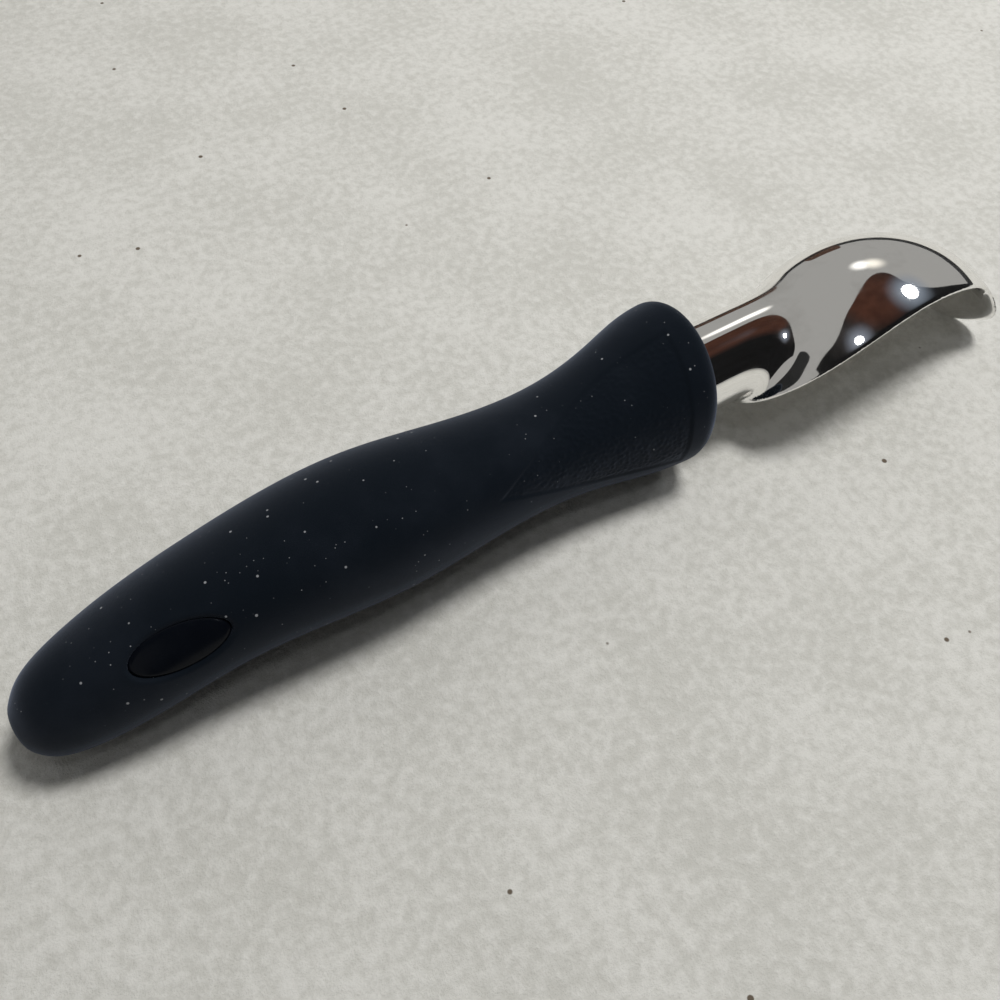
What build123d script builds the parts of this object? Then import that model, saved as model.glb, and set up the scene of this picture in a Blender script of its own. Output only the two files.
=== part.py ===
from build123d import *
import math
import os

# Ice cream scoop, the solid kind with nothing that moves.
# A polished metal casting makes the bowl, the neck and a long tang in one piece.
# The tang sits in a hard plastic core, held by two cross pins, and a soft rubber grip
# is moulded over the core. A small oval badge sits in a window on one side of the grip.
#
# The scoop is drawn with its long axis along X, the end of the grip at X = 0 and the back
# of the bowl up. At the end it is laid down as it rests on a table: hollow side down and
# rolled over, so that the end of the grip, one side of the rim and the tip of the bowl
# touch the table. All sizes are millimetres.

os.makedirs("parts", exist_ok=True)

# Length of the grip, and the slant of its open end, which reaches further at the back.
GRIP_LENGTH = 134.0
COLLAR_SLANT = 8.4
COLLAR_EDGE_RADIUS = 4.0
NOSE_RADIUS = 2.5

# Grip outline. Each station has its place, its half width, and how far its back (rise)
# and its belly (drop) stand off the long axis. Stations that belong to the palm are
# measured from the end of the grip, and those of the flare back from its open end.
NOSE_X = -0.2
NOSE_HALF_WIDTH = 3.0
NOSE_RISE = 0.2
NOSE_DROP = 6.0
HEEL_X = 3.5
HEEL_HALF_WIDTH = 7.4
HEEL_RISE = 4.6
HEEL_DROP = 9.4
TAIL_X = 12.0
TAIL_HALF_WIDTH = 10.9
TAIL_RISE = 8.4
TAIL_DROP = 10.9
SWELL_X = 38.0
SWELL_HALF_WIDTH = 15.4
SWELL_RISE = 13.5
SWELL_DROP = 9.3
PALM_X = 66.0
PALM_HALF_WIDTH = 16.2
PALM_RISE = 15.1
PALM_DROP = 11.4
TAPER_SETBACK = 44.0
TAPER_HALF_WIDTH = 14.2
TAPER_RISE = 11.8
TAPER_DROP = 10.5
WAIST_SETBACK = 27.0
WAIST_HALF_WIDTH = 13.2
WAIST_RISE = 11.3
WAIST_DROP = 11.8
FLARE_SETBACK = 14.0
FLARE_HALF_WIDTH = 13.8
FLARE_RISE = 13.9
FLARE_DROP = 14.6
BAND_SETBACK = 5.5
BAND_HALF_WIDTH = 15.2
BAND_RISE = 16.1
BAND_DROP = 15.5
LIP_OVERRUN = 6.0
LIP_HALF_WIDTH = 15.8
LIP_RISE = 16.3
LIP_DROP = 15.8

# Soft skin over the hard core.
SKIN = 2.8
CORE_END_X = 12.0
CORE_FRONT_SETBACK = 5.0
CORE_EDGE_RADIUS = 2.0

# Grained panels on both sides of the grip, sunk a little into the skin.
PANEL_DEPTH = 0.3
PANEL_BAND = 7.0
PANEL_FRONT_HEIGHT = 13.0
PANEL_MID_SETBACK = 30.0
PANEL_MID_HEIGHT = 7.4
PANEL_POINT_SETBACK = 49.5
PANEL_POINT_DROP = 0.6

# Metal head: neck and tang.
NECK_DIAMETER = 18.0
NECK_DROOP = 1.1
NECK_AXIS_RISE = 0.0
NECK_SOCKET_DEPTH = 13.0
NECK_FILLET = 10.0
TANG_WIDTH = 12.0
TANG_HEIGHT = 9.0
TANG_AXIS_RISE = 0.6
TANG_END_X = 42.0
TANG_CORNER = 1.5

# Metal head: the bowl is half of an egg, cut off below a rim that arches in side view.
BOWL_REACH = 43.0
BOWL_CENTRE_DROP = 22.0
BOWL_FRONT = 37.4
BOWL_BACK = 33.0
BOWL_HALF_WIDTH = 24.6
BOWL_CROWN = 33.6
BOWL_CROWN_REACH = 20.0
BOWL_WALL = 1.9
CROWN_WALL = 2.6
HEEL_WALL = 4.0

# Points of the rim line, as setbacks from the front of the egg and drops below the axis.
RIM_HEEL_SETBACK = 78.0
RIM_HEEL_DROP = 14.5
RIM_SIDE_SETBACK = 55.0
RIM_SIDE_DROP = 6.8
RIM_CREST_SETBACK = 35.0
RIM_CREST_DROP = 3.6
RIM_CHEEK_SETBACK = 18.0
RIM_CHEEK_DROP = 5.9
RIM_BEAK_SETBACK = 6.5
RIM_BEAK_DROP = 12.3
RIM_TIP_SETBACK = 1.4
RIM_TIP_DROP = 19.6
RIM_OVERRUN = 2.0
RIM_OVERRUN_DROP = 22.4
RIM_EDGE_RADIUS = 0.5

# Cross pins that hold the tang in the core.
PIN_DIAMETER = 3.0
PIN_LENGTH = 18.0
PIN_REAR_REACH = 20.0
PIN_FRONT_SETBACK = 21.0

# Oval badge in its window on the near side of the grip.
BADGE_X = 28.0
BADGE_RISE = 1.9
BADGE_LENGTH = 16.4
BADGE_HEIGHT = 7.4
BADGE_SETBACK = 0.5

# Clearances of the fits.
TANG_CLEARANCE = 0.1
NECK_CLEARANCE = 0.1
PIN_CLEARANCE = 0.02
BADGE_CLEARANCE = 0.1

# How the scoop lies on the table.
REST_ROLL = 40.14
REST_PITCH = 1.97

# Handle length of a curve that draws a quarter circle, and how far cutting blocks reach.
QUARTER_ROUND = 0.5523
CUT_REACH = 60.0
MESH_TOLERANCE = 0.02
MESH_ANGLE = 0.2

# Places that follow from the sizes above.
NECK_RADIUS = NECK_DIAMETER / 2
NECK_SHOULDER_X = GRIP_LENGTH - NECK_SOCKET_DEPTH
BOWL_CENTRE_X = GRIP_LENGTH + BOWL_REACH
BOWL_FRONT_X = BOWL_CENTRE_X + BOWL_FRONT
PIN_STATIONS = (TANG_END_X + PIN_REAR_REACH, NECK_SHOULDER_X - PIN_FRONT_SETBACK)
GRIP_STATIONS = [
    (NOSE_X, NOSE_HALF_WIDTH, NOSE_RISE, NOSE_DROP),
    (HEEL_X, HEEL_HALF_WIDTH, HEEL_RISE, HEEL_DROP),
    (TAIL_X, TAIL_HALF_WIDTH, TAIL_RISE, TAIL_DROP),
    (SWELL_X, SWELL_HALF_WIDTH, SWELL_RISE, SWELL_DROP),
    (PALM_X, PALM_HALF_WIDTH, PALM_RISE, PALM_DROP),
    (GRIP_LENGTH - TAPER_SETBACK, TAPER_HALF_WIDTH, TAPER_RISE, TAPER_DROP),
    (GRIP_LENGTH - WAIST_SETBACK, WAIST_HALF_WIDTH, WAIST_RISE, WAIST_DROP),
    (GRIP_LENGTH - FLARE_SETBACK, FLARE_HALF_WIDTH, FLARE_RISE, FLARE_DROP),
    (GRIP_LENGTH - BAND_SETBACK, BAND_HALF_WIDTH, BAND_RISE, BAND_DROP),
    (GRIP_LENGTH + LIP_OVERRUN, LIP_HALF_WIDTH, LIP_RISE, LIP_DROP),
]


def grip_form(inset):
    """Smooth body through oval sections, its surface brought in by an inset."""
    sections = []
    for x, half_width, rise, drop in GRIP_STATIONS:
        share = min(half_width / TAIL_HALF_WIDTH, 1)
        plane = Plane((x, 0, (rise - drop) / 2), x_dir=(0, 1, 0), z_dir=(1, 0, 0))
        oval = Ellipse(half_width - inset * share, (rise + drop) / 2 - inset * share)
        sections.append(plane * oval)
    return loft(sections)


def ahead_of(x_at_axis):
    """Everything in front of the slanted plane that crosses the long axis at x."""
    side = 4 * CUT_REACH
    block = Box(side, side, side, align=(Align.MIN, Align.CENTER, Align.CENTER))
    return Pos(x_at_axis, 0, 0) * Rot(0, COLLAR_SLANT, 0) * block


def behind(x_at_axis):
    """Everything behind the upright plane that crosses the long axis at x."""
    block = Box(CUT_REACH, CUT_REACH, CUT_REACH, align=(Align.MAX, Align.CENTER, Align.CENTER))
    return Pos(x_at_axis, 0, 0) * block


def side_prism(outline):
    """Pushes an outline seen from the side right through the grip."""
    return extrude(Plane.XZ * outline, CUT_REACH, both=True)


def neck_bar(radius, length):
    """Round bar along the neck, which leans a little towards the hollow side."""
    slope = math.radians(NECK_DROOP)
    direction = (math.cos(slope), 0, -math.sin(slope))
    plane = Plane((NECK_SHOULDER_X, 0, NECK_AXIS_RISE), x_dir=(0, 1, 0), z_dir=direction)
    return plane * Cylinder(radius, length, align=(Align.CENTER, Align.CENTER, Align.MIN))


def tang_bar(clearance):
    """Flat bar from the tang's end to just inside the neck, widened by a clearance."""
    overlap = NECK_RADIUS * math.sin(math.radians(NECK_DROOP))
    start = TANG_END_X - clearance
    plane = Plane((start, 0, TANG_AXIS_RISE), x_dir=(0, 1, 0), z_dir=(1, 0, 0))
    section = RectangleRounded(TANG_WIDTH + 2 * clearance, TANG_HEIGHT + 2 * clearance, TANG_CORNER)
    return extrude(plane * section, NECK_SHOULDER_X + overlap - start)


def cross_pins(radius, length):
    """The two pins, or the holes for them, across the tang."""
    pins = []
    for x in PIN_STATIONS:
        pins.append(Pos(x, 0, TANG_AXIS_RISE) * Rot(90, 0, 0) * Cylinder(radius, length))
    return pins


def badge_prism(clearance):
    """Oval block from the middle of the grip out through its near side."""
    oval = Ellipse(BADGE_LENGTH / 2 + clearance, BADGE_HEIGHT / 2 + clearance)
    return extrude(Plane.XZ * Pos(BADGE_X, BADGE_RISE) * oval, CUT_REACH)


def panel_outline():
    """Leaf shape of a grained panel: a point towards the palm, square to the collar in front."""
    front = GRIP_LENGTH - PANEL_BAND
    middle = GRIP_LENGTH - PANEL_MID_SETBACK
    lean = PANEL_FRONT_HEIGHT * math.tan(math.radians(COLLAR_SLANT))
    point = (GRIP_LENGTH - PANEL_POINT_SETBACK, -PANEL_POINT_DROP)
    top = (front + lean, PANEL_FRONT_HEIGHT)
    bottom = (front - lean, -PANEL_FRONT_HEIGHT)
    upper = Spline(point, (middle, PANEL_MID_HEIGHT), top)
    lower = Spline(point, (middle, -PANEL_MID_HEIGHT), bottom)
    return make_face([upper, Line(top, bottom), lower])


def end_edges(form, last):
    """Edges round the flat end of a form, at its front if last is -1 and at its rear if 0."""
    return form.faces().sort_by(Axis.X)[last].outer_wire().edges()


def grip_outer():
    """The whole outside of the grip, rounded at the palm end and at the collar."""
    form = grip_form(0) - ahead_of(GRIP_LENGTH)
    form = fillet(end_edges(form, -1), COLLAR_EDGE_RADIUS)
    return fillet(end_edges(form, 0), NOSE_RADIUS)


def core_outer():
    """The outside of the hard core, a skin's thickness inside the grip."""
    form = grip_form(SKIN) - ahead_of(GRIP_LENGTH - CORE_FRONT_SETBACK) - behind(CORE_END_X)
    return fillet(end_edges(form, 0), CORE_EDGE_RADIUS)


def handle_core():
    """Hard core with the socket for the tang, the bore for the neck and the pin holes."""
    core = core_outer() - tang_bar(TANG_CLEARANCE) - neck_bar(NECK_RADIUS + NECK_CLEARANCE, CUT_REACH)
    return core - cross_pins(PIN_DIAMETER / 2 + PIN_CLEARANCE, PIN_LENGTH)


def soft_grip():
    """Rubber skin round the core, with the badge's window and the two sunk panels."""
    skin = grip_outer() - core_outer() - neck_bar(NECK_RADIUS + NECK_CLEARANCE, CUT_REACH)
    skin = skin - badge_prism(BADGE_CLEARANCE)
    sunk = side_prism(panel_outline()) - grip_form(PANEL_DEPTH)
    return skin - sunk


def oval_badge():
    """Badge that rests on the core and stops a little short of the grip's surface."""
    return (badge_prism(0) & grip_form(BADGE_SETBACK)) - core_outer()


def tang_pins():
    return Compound(cross_pins(PIN_DIAMETER / 2, PIN_LENGTH))


def egg(front, back, half_width, crown):
    """Egg on the long axis of the bowl: a turned outline, then narrowed sideways."""
    shoulder = QUARTER_ROUND * crown
    tip_curve = Bezier(
        (front, 0), (front, -shoulder), (BOWL_CROWN_REACH, -crown), (0, -crown)
    )
    heel_curve = Bezier(
        (0, -crown), (-BOWL_CROWN_REACH, -crown), (-back, -shoulder), (-back, 0)
    )
    outline = make_face([tip_curve, heel_curve, Line((-back, 0), (front, 0))])
    turned = revolve(Plane.XZ * outline, axis=Axis.X)
    shaped = scale(turned, by=(1, half_width / crown, 1))
    return Pos(BOWL_CENTRE_X, 0, -BOWL_CENTRE_DROP) * shaped


def below_rim():
    """Everything under the arched rim line, wider than the bowl."""
    rim_line = Spline(
        (BOWL_FRONT_X - RIM_HEEL_SETBACK, -RIM_HEEL_DROP),
        (BOWL_FRONT_X - RIM_SIDE_SETBACK, -RIM_SIDE_DROP),
        (BOWL_FRONT_X - RIM_CREST_SETBACK, -RIM_CREST_DROP),
        (BOWL_FRONT_X - RIM_CHEEK_SETBACK, -RIM_CHEEK_DROP),
        (BOWL_FRONT_X - RIM_BEAK_SETBACK, -RIM_BEAK_DROP),
        (BOWL_FRONT_X - RIM_TIP_SETBACK, -RIM_TIP_DROP),
        (BOWL_FRONT_X + RIM_OVERRUN, -RIM_OVERRUN_DROP),
    )
    heel = rim_line @ 0
    tip = rim_line @ 1
    behind_heel = heel.X - CUT_REACH
    floor = tip.Y - CUT_REACH
    boundary = Polyline(
        (tip.X, tip.Y), (tip.X, floor), (behind_heel, floor), (behind_heel, heel.Y), (heel.X, heel.Y)
    )
    return side_prism(make_face([rim_line, boundary]))


def scoop_head():
    """Bowl, neck and tang as one casting, with the rim edges rounded and the pin holes drilled."""
    outer = egg(BOWL_FRONT, BOWL_BACK, BOWL_HALF_WIDTH, BOWL_CROWN)
    hollow = egg(
        BOWL_FRONT - BOWL_WALL,
        BOWL_BACK - HEEL_WALL,
        BOWL_HALF_WIDTH - BOWL_WALL,
        BOWL_CROWN - CROWN_WALL,
    )
    body = outer + neck_bar(NECK_RADIUS, BOWL_CENTRE_X - NECK_SHOULDER_X)
    meeting = body.edges().filter_by(GeomType.BSPLINE).sort_by(Axis.X)[0]
    body = fillet(meeting, NECK_FILLET) - hollow
    waste = below_rim()
    bowl = body - waste
    bowl = fillet(new_edges(body, waste, combined=bowl), RIM_EDGE_RADIUS)
    casting = bowl + tang_bar(0)
    return casting - cross_pins(PIN_DIAMETER / 2 + PIN_CLEARANCE, PIN_LENGTH)


nodes = {
    "scoop_head": scoop_head(),
    "handle_core": handle_core(),
    "tang_pins": tang_pins(),
    "soft_grip": soft_grip(),
    "oval_badge": oval_badge(),
}

# Lay the scoop down and put the origin on the table, under the middle of it.
laid = Rot(0, -REST_PITCH, 0) * Rot(-REST_ROLL, 0, 0)
points = []
for shape in nodes.values():
    points += (laid * shape).tessellate(MESH_TOLERANCE, MESH_ANGLE)[0]
middle_x = (min(point.X for point in points) + max(point.X for point in points)) / 2
middle_y = (min(point.Y for point in points) + max(point.Y for point in points)) / 2
table_z = min(point.Z for point in points)
place = Pos(-middle_x, -middle_y, -table_z) * laid
for name, shape in nodes.items():
    export_step(place * shape, f"parts/{name}.step")
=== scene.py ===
# %% [markdown]
# # Ice cream scoop
# A solid scoop with nothing that moves: a polished metal bowl, neck and tang in one
# casting, a soft black rubber grip moulded over a hard core, and a small oval badge.
# The CAD model is loaded first as a fixed frame. Every piece made here is built
# where that frame says, in metres, and rides on its one body, called root.

# %% Load the frame
import math

import bmesh
import bpy
import numpy as np
from mathutils import Matrix, Quaternion, Vector


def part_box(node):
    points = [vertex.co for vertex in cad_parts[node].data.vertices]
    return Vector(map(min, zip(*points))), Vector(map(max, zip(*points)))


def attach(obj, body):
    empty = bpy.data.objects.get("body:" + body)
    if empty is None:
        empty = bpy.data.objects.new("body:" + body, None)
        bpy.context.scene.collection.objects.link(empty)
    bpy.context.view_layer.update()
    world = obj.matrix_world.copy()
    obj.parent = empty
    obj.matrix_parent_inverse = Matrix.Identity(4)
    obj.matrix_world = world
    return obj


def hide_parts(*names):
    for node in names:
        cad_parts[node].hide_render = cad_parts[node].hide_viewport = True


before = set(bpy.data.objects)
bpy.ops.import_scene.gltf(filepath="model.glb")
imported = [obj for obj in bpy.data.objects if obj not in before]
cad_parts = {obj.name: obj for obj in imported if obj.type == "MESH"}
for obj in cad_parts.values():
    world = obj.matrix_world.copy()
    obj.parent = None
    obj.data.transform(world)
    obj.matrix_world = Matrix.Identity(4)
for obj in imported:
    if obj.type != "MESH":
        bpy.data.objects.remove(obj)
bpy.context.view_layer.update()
print("CAD nodes:", sorted(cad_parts))

# %% [markdown]
# ## Camera
# The photograph looks down on the scoop from the side of the badge, near the end of
# the grip, so the bowl is smaller than its true share. A lens as long as the sensor
# is wide gives that close, slightly wide view. Three turning angles would be hard to
# read, so the camera is placed by where it stands and the spot of the floor it looks at,
# and is then turned a little about its own line of sight.

# %% Camera
CAMERA_SPOT = Vector((-0.07982, -0.08987, 0.16419))
FLOOR_AIM = Vector((-0.01324, 0.00243, 0.0))
CAMERA_TURN = math.radians(4.32)
LENS = 36.0

camera_data = bpy.data.cameras.new("photo_camera")
camera_data.lens = LENS
camera_data.sensor_width = LENS
camera_data.clip_start = 0.005
camera = bpy.data.objects.new("photo_camera", camera_data)
bpy.context.scene.collection.objects.link(camera)
line_of_sight = FLOOR_AIM - CAMERA_SPOT
camera.rotation_mode = "QUATERNION"
aimed = line_of_sight.to_track_quat("-Z", "Y")
camera.rotation_quaternion = aimed @ Quaternion((0, 0, 1), CAMERA_TURN)
camera.location = CAMERA_SPOT
bpy.context.scene.camera = camera
print("camera stands", round(line_of_sight.length * 1000), "mm from its aim")

# %% [markdown]
# ## Helpers for node trees
# Every finish below is a small tree of nodes. The trees could be clicked together by
# hand, but a script has to be read, so small helpers keep them short: one adds a node and
# fills its sockets, one starts a new material, and the rest are single nodes that come
# back again and again, such as a sum, a noise, a mix of two colours or a bump.

# %% Nodes and new materials
def add_node(tree, kind, settings=None, **sockets):
    """Adds a node, sets its properties, then fills or links its inputs by name."""
    node = tree.nodes.new(kind)
    for name, value in (settings or {}).items():
        setattr(node, name, value)
    for name, value in sockets.items():
        plug_in(tree, node, name.replace("_", " "), value)
    return node


def plug_in(tree, node, name, value):
    """Links an output to an input, or writes a plain value into it."""
    socket = node.inputs[name]
    if isinstance(value, bpy.types.NodeSocket):
        tree.links.new(value, socket)
    else:
        socket.default_value = value


def new_finish(name):
    """A material with an empty tree, its Principled shader and its output."""
    material = bpy.data.materials.new(name)
    material.use_nodes = True
    tree = material.node_tree
    return material, tree, tree.nodes["Principled BSDF"]


print("helpers for nodes and materials")

# %% Numbers in a tree
def sums(tree, operation, first, second=0.0, third=0.0):
    """One Math node, returned as its output."""
    node = tree.nodes.new("ShaderNodeMath")
    node.operation = operation
    for socket, value in zip(node.inputs, (first, second, third)):
        if isinstance(value, bpy.types.NodeSocket):
            tree.links.new(value, socket)
        else:
            socket.default_value = value
    return node.outputs[0]


def spread(tree, value, low, high, to_low=0.0, to_high=1.0):
    """Stretches a value from one range to another, clamped, with soft ends."""
    node = tree.nodes.new("ShaderNodeMapRange")
    node.interpolation_type = "SMOOTHSTEP"
    tree.links.new(value, node.inputs["Value"])
    ends = {"From Min": low, "From Max": high, "To Min": to_low, "To Max": to_high}
    for name, number in ends.items():
        node.inputs[name].default_value = number
    return node.outputs["Result"]


print("helpers for numbers")

# %% Patterns
def object_place(tree):
    """Where a point lies in its object, for patterns to read."""
    return tree.nodes.new("ShaderNodeTexCoord").outputs["Object"]


def noise(tree, place, scale, detail=2.0, roughness=0.5):
    """One Noise texture, returned as its grey output."""
    node = tree.nodes.new("ShaderNodeTexNoise")
    tree.links.new(place, node.inputs["Vector"])
    node.inputs["Scale"].default_value = scale
    node.inputs["Detail"].default_value = detail
    node.inputs["Roughness"].default_value = roughness
    return node.outputs["Fac"]


def cells(tree, place, scale):
    """One Voronoi texture, returned as its distance from the nearest cell's middle."""
    node = tree.nodes.new("ShaderNodeTexVoronoi")
    tree.links.new(place, node.inputs["Vector"])
    node.inputs["Scale"].default_value = scale
    return node.outputs["Distance"]


print("helpers for noise and cells")

# %% Colour and height
def tint(tree, share, first, second):
    """Mixes two colours by a share."""
    node = tree.nodes.new("ShaderNodeMix")
    node.data_type = "RGBA"
    tree.links.new(share, node.inputs["Factor"])
    for name, colour in (("A", first), ("B", second)):
        socket = [s for s in node.inputs if s.name == name and s.type == "RGBA"][0]
        if isinstance(colour, bpy.types.NodeSocket):
            tree.links.new(colour, socket)
        else:
            socket.default_value = (*colour, 1.0)
    return [s for s in node.outputs if s.type == "RGBA"][0]


def bump(tree, height, depth, strength=1.0, below=None):
    """Turns a height from 0 to 1 into a bump as deep as depth, in metres."""
    node = tree.nodes.new("ShaderNodeBump")
    node.inputs["Strength"].default_value = strength
    node.inputs["Distance"].default_value = depth
    tree.links.new(height, node.inputs["Height"])
    if below is not None:
        tree.links.new(below, node.inputs["Normal"])
    return node.outputs["Normal"]


print("helpers for tints and bumps")

# %% [markdown]
# ## Floor
# The scoop lies on pale felt. A flat plane is enough, because the felt's nap is far
# finer than anything that shows in outline: two noises make its mottled height, and
# sparse cells make the few dark specks of lint in it.

# %% Floor
FLOOR_SIDE = 3.0
FELT_PALE = (0.80, 0.795, 0.76)
FELT_DEEP = (0.66, 0.655, 0.615)
FELT_SPECK = (0.16, 0.13, 0.10)
FELT_NAP = 0.0006
MOTTLE_SCALE, NAP_SCALE, CLUMP_SCALE, LINT_SCALE = 420.0, 2400.0, 30.0, 70.0

floor_mesh = bpy.data.meshes.new("felt_floor")
half = FLOOR_SIDE / 2
corners = [(-half, -half, 0), (half, -half, 0), (half, half, 0), (-half, half, 0)]
floor_mesh.from_pydata(corners, [], [(0, 1, 2, 3)])
floor = bpy.data.objects.new("felt_floor", floor_mesh)
bpy.context.scene.collection.objects.link(floor)

felt, tree, shader = new_finish("pale_felt")
place = object_place(tree)
mottle = noise(tree, place, MOTTLE_SCALE, 5.0, 0.65)
nap = noise(tree, place, NAP_SCALE, 4.0, 0.7)
clump = noise(tree, place, CLUMP_SCALE, 3.0, 0.5)
tone = sums(tree, "MULTIPLY_ADD", clump, 0.35, sums(tree, "MULTIPLY", mottle, 0.65))
fibre_colour = tint(tree, spread(tree, tone, 0.38, 0.62), FELT_DEEP, FELT_PALE)
speck = spread(tree, cells(tree, place, LINT_SCALE), 0.045, 0.03)
tree.links.new(tint(tree, speck, fibre_colour, FELT_SPECK), shader.inputs["Base Color"])
height = sums(tree, "ADD", mottle, sums(tree, "MULTIPLY", nap, 0.5))
tree.links.new(bump(tree, height, FELT_NAP, 0.7), shader.inputs["Normal"])
shader.inputs["Roughness"].default_value = 0.95
shader.inputs["Specular IOR Level"].default_value = 0.1
floor_mesh.materials.append(felt)
print("floor of felt,", FLOOR_SIDE, "m square")

# %% [markdown]
# ## Smooth lines
# The rim of the bowl, the grip's sections and the edge of a studio hood are each given
# by a few stations. Straight pieces between them would show as facets in polished metal.
# A natural cubic spline bends as little as it can, like a draughtsman's thin batten held
# by pins, so no station shows as a corner.

# %% Smooth line through stations
def batten(stations, samples=4000):
    """Rows of numbers in, the finely sampled natural cubic spline through them out."""
    rows = np.array(stations, float)
    steps = np.linalg.norm(np.diff(rows, axis=0), axis=1)
    spots = np.concatenate([[0], np.cumsum(steps)])
    last = len(rows) - 1
    system = np.eye(last + 1)
    pull = np.zeros_like(rows)
    for i in range(1, last):
        system[i, i - 1 : i + 2] = steps[i - 1], 2 * (steps[i - 1] + steps[i]), steps[i]
        pull[i] = 6 * ((rows[i + 1] - rows[i]) / steps[i] - (rows[i] - rows[i - 1]) / steps[i - 1])
    bend = np.linalg.solve(system, pull)
    fine = np.linspace(0, spots[-1], samples)
    i = np.clip(np.searchsorted(spots, fine) - 1, 0, last - 1)
    step = steps[i][:, None]
    ahead = (spots[i + 1] - fine)[:, None]
    past = (fine - spots[i])[:, None]
    curve = (bend[i] * ahead**3 + bend[i + 1] * past**3) / (6 * step)
    curve += (rows[i] / step - bend[i] * step / 6) * ahead
    curve += (rows[i + 1] / step - bend[i + 1] * step / 6) * past
    return curve


print("a batten over 3 pins has", len(batten([(0, 0), (1, 1), (2, 0)])), "points")

# %% [markdown]
# ## Light
# Polished metal shows the room more than itself, so the room is part of its finish. One
# lamp alone would leave most of it black. So a plain studio is built: even pale light from
# all round, two small round lamps whose spots sit on the bowl, and a skylight that casts
# the short shadows but is kept out of the reflections.

# %% Room
ROOM_GREY = (0.335, 0.331, 0.32)

world = bpy.data.worlds.new("studio")
world.use_nodes = True
bpy.context.scene.world = world
world.node_tree.nodes["Background"].inputs["Color"].default_value = (*ROOM_GREY, 1.0)
bpy.context.scene.view_settings.view_transform = "Standard"
print("room of grey", ROOM_GREY)

# %% Lamps
BOWL_SPOT = Vector((0.065, 0.0, 0.03))


def towards(azimuth, elevation):
    """Unit direction; azimuth 0 is along Y and 90 along X, in degrees."""
    turn, rise = math.radians(azimuth), math.radians(elevation)
    level = math.cos(rise)
    return Vector((math.sin(turn) * level, math.cos(turn) * level, math.sin(rise)))


def soft_lamp(name, azimuth, elevation, size, brightness, colour):
    """A round area lamp that the bowl mirrors from a direction, as bright as asked."""
    data = bpy.data.lights.new(name, "AREA")
    data.shape = "DISK"
    data.size = size
    data.energy = brightness * math.pi * math.pi * (size / 2) ** 2
    data.color = colour
    lamp = bpy.data.objects.new(name, data)
    lamp.location = BOWL_SPOT + towards(azimuth, elevation)
    lamp.rotation_euler = (BOWL_SPOT - lamp.location).to_track_quat("-Z", "Y").to_euler()
    bpy.context.scene.collection.objects.link(lamp)
    return lamp


soft_lamp("side_lamp", 94.0, 44.5, 0.15, 12.0, (0.98, 0.99, 1.0))
soft_lamp("front_lamp", 175.0, 71.5, 0.11, 12.0, (0.97, 0.99, 1.0))
skylight = soft_lamp("skylight", 84.0, 74.0, 0.30, 31.0, (1.0, 0.99, 0.965))
skylight.visible_glossy = False
print("studio with 3 lamps")

# %% [markdown]
# ## Dark hood
# Photographers hang dark cloth beside shiny things, so that these mirror something dark
# and their form can be read. A flat cloth would give the metal a straight dark edge, but
# in the photograph the edge winds over the bowl. So the hood is a quarter of a sphere
# round the bowl, with an edge that follows a smooth line, and brown and dusky patches
# where the room behind the camera is not quite black. The camera itself never sees it.

# %% Edge and colours of the hood
HOOD_REACH = 1.3
HOOD_SIDE = 86.0
HOOD_EDGE = [  # angle along the arch from plus X, lean of the hood's edge to the camera's side
    (0, 13), (14, 13.5), (27, 12.5), (37, 8), (43, 0), (46, -12), (50, -18), (56, -18.5),
    (65, -13.5), (76, -7), (86, -2), (96, 4), (108, 9), (117, 10), (126, 12.5),
]
HOOD_ROWS, HOOD_COLUMNS = 120, 60
HOOD_FOOT = 89.5
HOOD_BLACK = np.array((0.010, 0.010, 0.012))
HOOD_BROWN = np.array((0.17, 0.062, 0.038))
HOOD_DUSK = np.array((0.075, 0.066, 0.066))
BROWN_PATCH = (82, 66, 12, 27)  # azimuth, elevation, angle of full colour, angle of none
DUSK_PATCH = (175, 80, 8, 26)
print("hood's edge has", len(HOOD_EDGE), "stations")

# %% Shape of the hood
def nearness(ways, azimuth, elevation, full, none):
    """1 within an angle of a direction, falling softly to 0 at a wider angle."""
    angle = np.degrees(np.arccos(np.clip(ways @ np.array(towards(azimuth, elevation)), -1, 1)))
    share = np.clip((none - angle) / (none - full), 0, 1)
    return (share * share * (3 - 2 * share))[:, None]


def hood():
    """A quarter of a sphere of dark cloth whose edge arches over the bowl."""
    three_ways = (HOOD_SIDE, 0), (HOOD_SIDE + 90, 0), (0, 90)
    side, front, up = (np.array(towards(*way)) for way in three_ways)
    edge = batten(HOOD_EDGE)
    ways = []
    for along in np.linspace(HOOD_EDGE[0][0] + 1, HOOD_EDGE[-1][0], HOOD_ROWS):
        edge_lean = np.interp(along, edge[:, 0], edge[:, 1])
        lean = np.radians(np.linspace(edge_lean, HOOD_FOOT, HOOD_COLUMNS))
        arch = np.outer(np.cos(lean), up) + np.outer(np.sin(lean), front)
        ways.append(math.cos(math.radians(along)) * side + math.sin(math.radians(along)) * arch)
    ways = np.vstack(ways)
    first = np.arange(HOOD_ROWS - 1)[:, None] * HOOD_COLUMNS + np.arange(HOOD_COLUMNS - 1)
    faces = first.reshape(-1, 1) + (0, 1, HOOD_COLUMNS + 1, HOOD_COLUMNS)
    mesh = bpy.data.meshes.new("dark_hood")
    mesh.from_pydata((np.array(BOWL_SPOT) + ways * HOOD_REACH).tolist(), [], faces.tolist())
    brown = nearness(ways, *BROWN_PATCH)
    dusk = nearness(ways, *DUSK_PATCH) * (1 - brown)
    shades = HOOD_BLACK * (1 - brown - dusk) + HOOD_BROWN * brown + HOOD_DUSK * dusk
    colours = mesh.attributes.new("cloth", "FLOAT_COLOR", "POINT")
    colours.data.foreach_set("color", np.column_stack([shades, np.ones(len(ways))]).ravel())
    return mesh


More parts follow.
